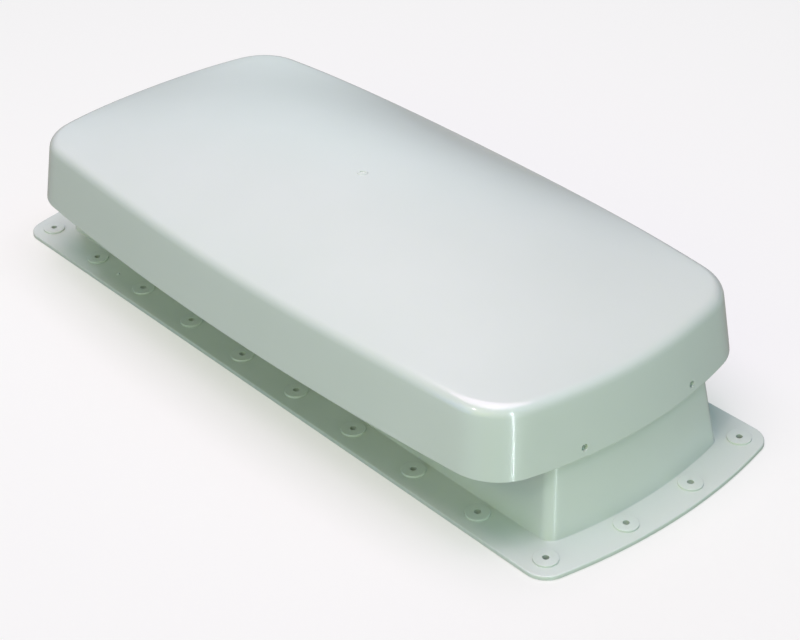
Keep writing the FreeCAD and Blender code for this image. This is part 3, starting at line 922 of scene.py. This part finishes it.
def build_strip(name):
    """Strip over the screen's edge: flat faces with screw holes, and sides with a bevel at each edge."""
    screen = bpy.context.scene.vent_screen_sizes
    low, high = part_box(name)
    middle = np.array([(low.x + high.x) / 2, (low.y + high.y) / 2])
    half_size = np.array([(high.x - low.x) / 2, (high.y - low.y) / 2])
    bevel, corner_cells = screen.strip_edge, 6
    arc = plan_directions(np.linspace(0, np.pi / 2, corner_cells + 1))
    loops = []
    for drawn, level in ((bevel, low.z), (0, low.z + bevel), (0, high.z - bevel), (bevel, high.z)):
        quarter = half_size - screen.strip_round + (screen.strip_round - drawn) * arc
        loops.append((whole_corner_loop(quarter) + middle, level))
    skin = Skin()
    skin.grid(np.stack([with_height(np.concatenate([loop, loop[:1]]), level) for loop, level in loops]))
    inside = [place for place in screen_screw_places()
              if low.x < place[0] < high.x and low.y < place[1] < high.y]
    holes = [circle_at(place, screen.strip_hole_radius, BOSS_POINTS) for place in inside]
    skin.flat([loops[0][0]] + holes, low.z)
    skin.flat([loops[-1][0]] + holes, high.z)
    skin.rings(inside, [screen.strip_hole_radius] * 2, [low.z, high.z], BOSS_POINTS)
    return skin


def whole_corner_loop(quarter):
    """Closed loop of a rounded rectangle from its +X +Y corner, which stops short of both centre lines."""
    return np.concatenate([quarter, quarter[::-1] * (-1, 1), quarter * (-1, -1), quarter[::-1] * (1, -1)])


def build_screws():
    """Strip screws: a pan head with a flared cross recess sunk into it, and a shank with a tapered point."""
    screen = bpy.context.scene.vent_screen_sizes
    seat = STRIP_HIGH.z
    top = seat + screen.head_height
    middle_cells = 13
    middle = np.linspace(0, screen.head_radius - screen.head_round, middle_cells + 1)
    below, inside = quarter_round(screen.head_round, cells=5)
    shank, point = screen.shank_radius, 0.25 * screen.shank_radius
    edge = screen.head_radius - inside[1:]
    radii = np.concatenate([middle, edge, [screen.head_radius, shank, shank, point, 0]])
    levels = np.concatenate([np.full_like(middle, top), top - below[1:],
                             [seat, seat, SCREW_LOW.z + screen.shank_point, SCREW_LOW.z, SCREW_LOW.z]])
    plan = radii[:, None, None] * plan_directions(closed_angles(SCREW_POINTS))
    depth = cross_recess(plan, screen) * (levels > top - screen.head_round)[:, None]
    skin = Skin()
    for place in screen_screw_places():
        skin.grid(with_height(plan + np.array(place), levels[:, None] - depth))
    return skin


def cross_recess(plan, screen):
    """Depth of the cross recess at a place: full within the cross, falling off over the flare round it."""
    x = np.abs(plan[..., 0])
    y = np.abs(plan[..., 1])
    from_arm = np.minimum(x, y) - screen.recess_half_width
    from_end = np.maximum(x, y) - screen.recess_half_length
    outside = np.maximum(from_arm, from_end)
    return screen.recess_depth * (1 - smooth_step(0, screen.recess_flare, outside))


def add_node(tree, kind, inputs=None, **settings):
    """Adds a node with its settings; an input is a value for the socket, or a socket to link to it."""
    node = tree.nodes.new(kind)
    for key, value in settings.items():
        setattr(node, key, value)
    set_inputs(tree, node, inputs or {})
    return node


def set_inputs(tree, node, inputs):
    """Gives a node's inputs their values, or links them to other nodes' outputs."""
    for key, value in inputs.items():
        if isinstance(value, bpy.types.NodeSocket):
            tree.links.new(value, node.inputs[key])
        else:
            node.inputs[key].default_value = value


def new_material(name):
    """Empty node material with its output, its surface shader and Object coordinates."""
    material = bpy.data.materials.new(name)
    material.use_nodes = True
    tree = material.node_tree
    tree.nodes.clear()
    shader = add_node(tree, "ShaderNodeBsdfPrincipled")
    add_node(tree, "ShaderNodeOutputMaterial", {"Surface": shader.outputs["BSDF"]})
    place = add_node(tree, "ShaderNodeTexCoord").outputs["Object"]
    return material, tree, shader, place


def drifting_finish(tree, tone_pattern, tones, gloss_pattern, roughness):
    """Colour and roughness for a shader: each drifts between two values, with the darks and lights of its own
    pattern. The roughness uses the middle of its pattern's range, where nearly all of the noise lies."""
    first, second = tones
    tone = add_node(tree, "ShaderNodeMix", {0: tone_pattern.outputs["Fac"], 6: (*first, 1), 7: (*second, 1)},
                    data_type="RGBA")
    gloss = add_node(tree, "ShaderNodeMapRange", {"Value": gloss_pattern.outputs["Fac"], "From Min": 0.3,
                                                  "From Max": 0.7, "To Min": roughness[0],
                                                  "To Max": roughness[1]})
    return {"Base Color": tone.outputs[2], "Roughness": gloss.outputs["Result"]}


def moulded_plastic():
    """Injection-moulded polypropylene, off-white with a green cast: a waxy gloss, a little light that passes
    through thin edges, flow clouds 90 mm wide, handling marks 14 mm wide in the gloss, sink waves 60 mm wide,
    and a faint pebble from the mould. The real pebble is about 0.2 mm and is drawn at 1.5 mm to show."""
    looks = bpy.context.scene.vent_looks
    material, tree, shader, place = new_material("moulded polypropylene")
    clouds = add_node(tree, "ShaderNodeTexNoise", {"Vector": place, "Scale": 1 / (90 * MM), "Detail": 2.0})
    handling = add_node(tree, "ShaderNodeTexNoise", {"Vector": place, "Scale": 1 / (14 * MM), "Detail": 4.0})
    sink = add_node(tree, "ShaderNodeTexNoise", {"Vector": place, "Scale": 1 / (60 * MM), "Detail": 1.0})
    waves = add_node(tree, "ShaderNodeBump", {"Height": sink.outputs["Fac"], "Distance": 0.1 * MM})
    mould = add_node(tree, "ShaderNodeTexNoise", {"Vector": place, "Scale": 1 / (1.5 * MM), "Detail": 1.0})
    pebble = add_node(tree, "ShaderNodeBump", {"Height": mould.outputs["Fac"], "Distance": 0.004 * MM,
                                               "Normal": waves.outputs["Normal"]})
    tones = (looks.plastic, looks.plastic_cloud)
    set_inputs(tree, shader, {**drifting_finish(tree, clouds, tones, handling, (0.3, 0.36)),
                              "Normal": pebble.outputs["Normal"], "IOR": 1.49, "Subsurface Weight": 0.1,
                              "Subsurface Radius": (1.0, 1.0, 0.7), "Subsurface Scale": 1.5 * MM,
                              "Coat Weight": 1.0, "Coat Roughness": 0.1})
    return material


def zinc_wire():
    """Welded steel wire, hot-dip galvanised: grey metal with dull spangle patches about 9 mm wide and slight
    lumps from the dip, 2 mm wide."""
    looks = bpy.context.scene.vent_looks
    material, tree, shader, place = new_material("galvanised steel wire")
    spangle = add_node(tree, "ShaderNodeTexNoise", {"Vector": place, "Scale": 1 / (9 * MM), "Detail": 3.0})
    dip = add_node(tree, "ShaderNodeTexNoise", {"Vector": place, "Scale": 1 / (2 * MM)})
    lumps = add_node(tree, "ShaderNodeBump", {"Height": dip.outputs["Fac"], "Distance": 0.06 * MM})
    tones = (looks.wire, looks.wire_dull)
    set_inputs(tree, shader, {**drifting_finish(tree, spangle, tones, spangle, (0.38, 0.6)),
                              "Normal": lumps.outputs["Normal"], "Metallic": 1.0})
    return material


def rolled_aluminium(name, along_x):
    """Mill-finish aluminium strip, rolled: bright grey metal with streaks along its length, fifty times as
    long as they are wide. Real streaks are about 0.1 mm apart and are drawn 0.9 mm apart to show."""
    looks = bpy.context.scene.vent_looks
    material, tree, shader, place = new_material("rolled aluminium " + name)
    squeeze = 1 / 50
    stretch = (squeeze, 1, 1) if along_x else (1, squeeze, 1)
    along = add_node(tree, "ShaderNodeMapping", {"Vector": place, "Scale": stretch})
    rolling = add_node(tree, "ShaderNodeTexNoise", {"Vector": along.outputs["Vector"],
                                                    "Scale": 1 / (0.9 * MM), "Detail": 3.0})
    streaks = add_node(tree, "ShaderNodeBump", {"Height": rolling.outputs["Fac"], "Distance": 0.015 * MM})
    tones = (looks.strip, looks.strip_dull)
    set_inputs(tree, shader, {**drifting_finish(tree, rolling, tones, rolling, (0.28, 0.46)),
                              "Normal": streaks.outputs["Normal"], "Metallic": 1.0})
    return material


def plated_steel():
    """Cold-headed steel screw, zinc plated: smooth bright metal with a faint warm tint in patches about 3 mm
    wide, and marks of the heading dies 0.8 mm wide."""
    looks = bpy.context.scene.vent_looks
    material, tree, shader, place = new_material("zinc plated steel")
    plating = add_node(tree, "ShaderNodeTexNoise", {"Vector": place, "Scale": 1 / (3 * MM), "Detail": 3.0})
    marks = add_node(tree, "ShaderNodeTexNoise", {"Vector": place, "Scale": 1 / (0.8 * MM)})
    relief = add_node(tree, "ShaderNodeBump", {"Height": marks.outputs["Fac"], "Distance": 0.01 * MM})
    tones = (looks.screw, looks.screw_tint)
    set_inputs(tree, shader, {**drifting_finish(tree, plating, tones, plating, (0.22, 0.36)),
                              "Normal": relief.outputs["Normal"], "Metallic": 1.0})
    return material


def plastic_of_vent():
    """The plastic that the cap and the base share."""
    return bpy.data.materials.get("moulded polypropylene") or moulded_plastic()


class VENT_OT_cap(bpy.types.Operator):
    """Builds the domed cap"""

    bl_idname = "roof_vent.cap"
    bl_label = "Domed cap"

    def execute(self, context):
        piece = build_cap().piece("domed_cap", plastic_of_vent())
        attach(piece, "cap")
        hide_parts("vent_cap")
        return {"FINISHED"}


class VENT_OT_base(bpy.types.Operator):
    """Builds the flanged base"""

    bl_idname = "roof_vent.base"
    bl_label = "Flanged base"

    def execute(self, context):
        piece = build_base().piece("flanged_base", plastic_of_vent())
        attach(piece, "base")
        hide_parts("vent_base")
        return {"FINISHED"}


class VENT_OT_screen(bpy.types.Operator):
    """Builds the welded bird screen"""

    bl_idname = "roof_vent.screen"
    bl_label = "Bird screen"

    def execute(self, context):
        piece = build_screen().piece("welded_screen", zinc_wire(), crease=60)
        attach(piece, "base")
        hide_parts("bird_screen")
        return {"FINISHED"}


class VENT_OT_strips(bpy.types.Operator):
    """Builds the strips over the edges of the screen"""

    bl_idname = "roof_vent.strips"
    bl_label = "Screen strips"

    def execute(self, context):
        for name in STRIP_NODES:
            side = name.removeprefix("screen_strip_")
            along_x = side in ("front", "back")
            piece = build_strip(name).piece(side + "_strip", rolled_aluminium(side, along_x))
            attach(piece, "base")
            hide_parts(name)
        return {"FINISHED"}


class VENT_OT_screws(bpy.types.Operator):
    """Builds the strip screws"""

    bl_idname = "roof_vent.screws"
    bl_label = "Strip screws"

    def execute(self, context):
        piece = build_screws().piece("pan_head_screws", plated_steel(), crease=40)
        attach(piece, "base")
        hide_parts("screen_screws")
        return {"FINISHED"}


class VENT_OT_stage(bpy.types.Operator):
    """Builds the studio: pale floor, soft lights and the camera"""

    bl_idname = "roof_vent.stage"
    bl_label = "Studio"

    def execute(self, context):
        add_floor()
        add_world()
        add_lights()
        add_camera()
        return {"FINISHED"}


def add_sheet(name, half_size, level, material):
    """Level rectangular sheet of the studio."""
    x, y = half_size
    mesh = bpy.data.meshes.new(name)
    mesh.from_pydata([(-x, -y, level), (x, -y, level), (x, y, level), (-x, y, level)], [], [(0, 1, 2, 3)])
    mesh.materials.append(material)
    sheet = bpy.data.objects.new(name, mesh)
    bpy.context.scene.collection.objects.link(sheet)


def studio_paper(name, tone, thrown_back, glow):
    """Matt studio paper with a slightly uneven sheen from its fibres, which are drawn 3 mm wide so that they
    show. It shows one colour, with a share of it as its own glow as if lit from behind, and throws back
    another, so that the sides of the vent keep their shade over a pale floor."""
    material, tree, shader, place = new_material(name)
    fibres = add_node(tree, "ShaderNodeTexNoise", {"Vector": place, "Scale": 1 / (3 * MM)})
    sheen = add_node(tree, "ShaderNodeMapRange", {"Value": fibres.outputs["Fac"], "To Min": 0.8,
                                                  "To Max": 1.0})
    path = add_node(tree, "ShaderNodeLightPath")
    lit = [(1 - glow) * part for part in tone]
    shown = add_node(tree, "ShaderNodeMix", {0: path.outputs["Is Camera Ray"], 6: (*thrown_back, 1),
                                             7: (*lit, 1)}, data_type="RGBA")
    own = add_node(tree, "ShaderNodeMath", {0: path.outputs["Is Camera Ray"], 1: glow}, operation="MULTIPLY")
    set_inputs(tree, shader, {"Base Color": shown.outputs[2], "Roughness": sheen.outputs["Result"],
                              "Specular IOR Level": 0.1, "Emission Color": (*tone, 1),
                              "Emission Strength": own.outputs[0]})
    return material


def add_floor():
    """Pale floor that reaches past every view, and on it, under the flange, a near-black sheet of painted
    shade, so that the screw holes and the throat are dark inside. Half of the floor's colour is its own glow;
    the black sheet has none."""
    looks = bpy.context.scene.vent_looks
    reach = 20.0
    floor_level, shade_sheet_level = -0.3 * MM, -0.1 * MM
    end_margin, side_margin = 20 * MM, 5 * MM
    white = studio_paper("matt white paper", looks.floor, looks.bounce, glow=0.5)
    # Painted shade: the black paper under the flange makes the holes and the throat dark inside
    black = studio_paper("black paper of painted shade", looks.painted_shade_card, looks.painted_shade_card, glow=0.0)
    add_sheet("floor", (reach, reach), floor_level, white)
    add_sheet("dark card", (BASE_HIGH.x - end_margin, BASE_HIGH.y - side_margin), shade_sheet_level, black)


def add_world():
    """Studio walls: wide soft lobes of light round four directions, in front, on the left, high on the right
    and low behind. A lobe's strength is a power of the cosine of the angle from its direction, and the higher
    the power, the narrower the lobe. The camera sees a plain pale backdrop in their place."""
    # Azimuth, elevation, power of the cosine and colour
    lobes = (
        (10, 20, 6.0, (0.97, 1.08, 0.42)),
        (-90, 30, 6.0, (0.46, 0.47, 0.58)),
        (100, 60, 6.0, (0.36, 0.74, 0.94)),
        (-131, 20, 16.0, (0.48, 0.67, 0.66)),
    )
    world = bpy.data.worlds.new("studio")
    bpy.context.scene.world = world
    world.use_nodes = True
    tree = world.node_tree
    tree.nodes.clear()
    way = add_node(tree, "ShaderNodeTexCoord").outputs["Generated"]
    total = (0.0, 0.0, 0.0)
    for azimuth, elevation, power, light in lobes:
        facing = add_node(tree, "ShaderNodeVectorMath", {0: way, 1: direction(azimuth, elevation)},
                          operation="DOT_PRODUCT")
        front = add_node(tree, "ShaderNodeMath", {0: facing.outputs["Value"], 1: 0.0}, operation="MAXIMUM")
        share = add_node(tree, "ShaderNodeMath", {0: front.outputs[0], 1: power}, operation="POWER")
        lobe = add_node(tree, "ShaderNodeVectorMath", {0: light, "Scale": share.outputs[0]},
                        operation="SCALE")
        total = add_node(tree, "ShaderNodeVectorMath", {0: lobe.outputs[0], 1: total}).outputs[0]
    path = add_node(tree, "ShaderNodeLightPath")
    backdrop = bpy.context.scene.vent_looks.backdrop
    shown = add_node(tree, "ShaderNodeMix", {0: path.outputs["Is Camera Ray"], 6: total, 7: (*backdrop, 1)},
                     data_type="RGBA")
    glow = add_node(tree, "ShaderNodeBackground", {"Color": shown.outputs[2], "Strength": 1.0})
    add_node(tree, "ShaderNodeOutputWorld", {"Surface": glow.outputs["Background"]})


def direction(azimuth, elevation):
    """Unit vector towards an azimuth, counted from -Y towards +X, and an elevation, both in degrees."""
    turn, rise = math.radians(azimuth), math.radians(elevation)
    return Vector((math.sin(turn) * math.cos(rise), -math.cos(turn) * math.cos(rise), math.sin(rise)))


def add_lamp(name, place, towards, size, power, tone):
    """Rectangular area light at a place that looks towards a point, in metres and watts."""
    light = bpy.data.lights.new(name, "AREA")
    light.shape = "RECTANGLE"
    light.size, light.size_y = size
    light.energy = power
    light.color = tone
    lamp = bpy.data.objects.new(name, light)
    bpy.context.scene.collection.objects.link(lamp)
    turn = (place - towards).to_track_quat("Z", "Y").to_matrix().to_4x4()
    lamp.matrix_world = Matrix.Translation(place) @ turn
    return lamp


def add_lights():
    """A large soft box overhead, and lamps round the near corner that light the cap and the base alone: a
    cool screen low in front, upright strips that draw the lines of light down the corner, and two small lamps
    for the glints on the cap's edge.

    Only the cap, the base and the card stop the light of these lamps, not the floor, which the lower halves
    of the upright ones reach under. The right strip has no importance sampling, because part of its
    reflection would then be left to rays that the floor stops.
    """
    add_lamp("overhead box", direction(0, 88) * 2.2, Vector((0.0, 0.0, 0.05)), size=(2.0, 2.0), power=40.5,
             tone=(1.0, 0.74, 0.95))
    lit = bpy.data.collections.new("lit alone")
    shade = bpy.data.collections.new("casts shade")
    for name in ("domed_cap", "flanged_base"):
        lit.objects.link(bpy.data.objects[name])
    for name in ("domed_cap", "flanged_base", "dark card"):
        shade.objects.link(bpy.data.objects[name])
    corner = Vector((0.26, -0.1, 0.0))
    distance = 1.5
    # Name, azimuth, elevation, width and height, power, tone and whether it is importance sampled
    lamps = (
        ("front screen", -15, 0, (0.8, 2.4), 6.4, (0.0, 0.16, 1.0), True),
        ("right strip", 71, 0, (0.11, 2.4), 9.6, (0.82, 0.93, 1.0), False),
        ("front strip", 8, 0, (0.03, 2.4), 0.4, (1.0, 1.0, 1.0), True),
        ("overhead glint", 0, 85, (0.1, 0.2), 1.2, (0.95, 0.9, 1.0), True),
        ("front glint", 0, 42, (0.1, 0.2), 1.6, (1.0, 0.95, 0.9), True),
    )
    for name, azimuth, elevation, size, power, tone, sampled in lamps:
        lamp = add_lamp(name, corner + direction(azimuth, elevation) * distance, corner, size, power, tone)
        lamp.data.cycles.use_multiple_importance_sampling = sampled
        lamp.light_linking.receiver_collection = lit
        lamp.light_linking.blocker_collection = shade


def add_camera():
    """Camera at the photograph's place: back from its target along the view, level but for a small roll. Its
    colours are shown as they are."""
    distance = 1.49016
    target = Vector((0.00916, 0.02527, 0.0))
    focal_pixels = 1943.7
    image_width = 800
    roll = -0.01973
    back = direction(49.0, 33.244)
    data = bpy.data.cameras.new("camera")
    data.sensor_width = 36.0
    data.lens = data.sensor_width * focal_pixels / image_width
    camera = bpy.data.objects.new("camera", data)
    bpy.context.scene.collection.objects.link(camera)
    turn = back.to_track_quat("Z", "Y").to_matrix().to_4x4() @ Matrix.Rotation(roll, 4, "Z")
    camera.matrix_world = Matrix.Translation(target + back * distance) @ turn
    bpy.context.scene.camera = camera
    bpy.context.scene.view_settings.view_transform = "Standard"


class VENT_PT_pieces(bpy.types.Panel):
    """Sidebar panel with a button for each piece and its sizes"""

    bl_idname = "VENT_PT_pieces"
    bl_label = "Roof vent"
    bl_space_type = "VIEW_3D"
    bl_region_type = "UI"
    bl_category = "Roof vent"

    def draw(self, context):
        for operator in OPERATORS:
            self.layout.operator(operator.bl_idname)
        for group in (context.scene.vent_cap_sizes, context.scene.vent_base_sizes,
                      context.scene.vent_screen_sizes, context.scene.vent_looks):
            for key in group.bl_rna.properties.keys():
                if key not in ("rna_type", "name"):
                    self.layout.prop(group, key)


GROUPS = {
    "vent_cap_sizes": CapSizes,
    "vent_base_sizes": BaseSizes,
    "vent_screen_sizes": ScreenSizes,
    "vent_looks": VentLooks,
}
OPERATORS = (VENT_OT_cap, VENT_OT_base, VENT_OT_screen, VENT_OT_strips, VENT_OT_screws, VENT_OT_stage)


def register():
    """Registers the classes and hangs the settings on the scene."""
    for kind in (*GROUPS.values(), *OPERATORS, VENT_PT_pieces):
        bpy.utils.register_class(kind)
    for key, kind in GROUPS.items():
        setattr(bpy.types.Scene, key, PointerProperty(type=kind))


def unregister():
    """Takes the settings and the classes away again."""
    for key in GROUPS:
        delattr(bpy.types.Scene, key)
    for kind in reversed((*GROUPS.values(), *OPERATORS, VENT_PT_pieces)):
        bpy.utils.unregister_class(kind)


def main():
    register()
    bpy.ops.roof_vent.cap()
    bpy.ops.roof_vent.base()
    bpy.ops.roof_vent.screen()
    bpy.ops.roof_vent.strips()
    bpy.ops.roof_vent.screws()
    bpy.ops.roof_vent.stage()
    bpy.context.view_layer.update()


if __name__ == "__main__":
    main()
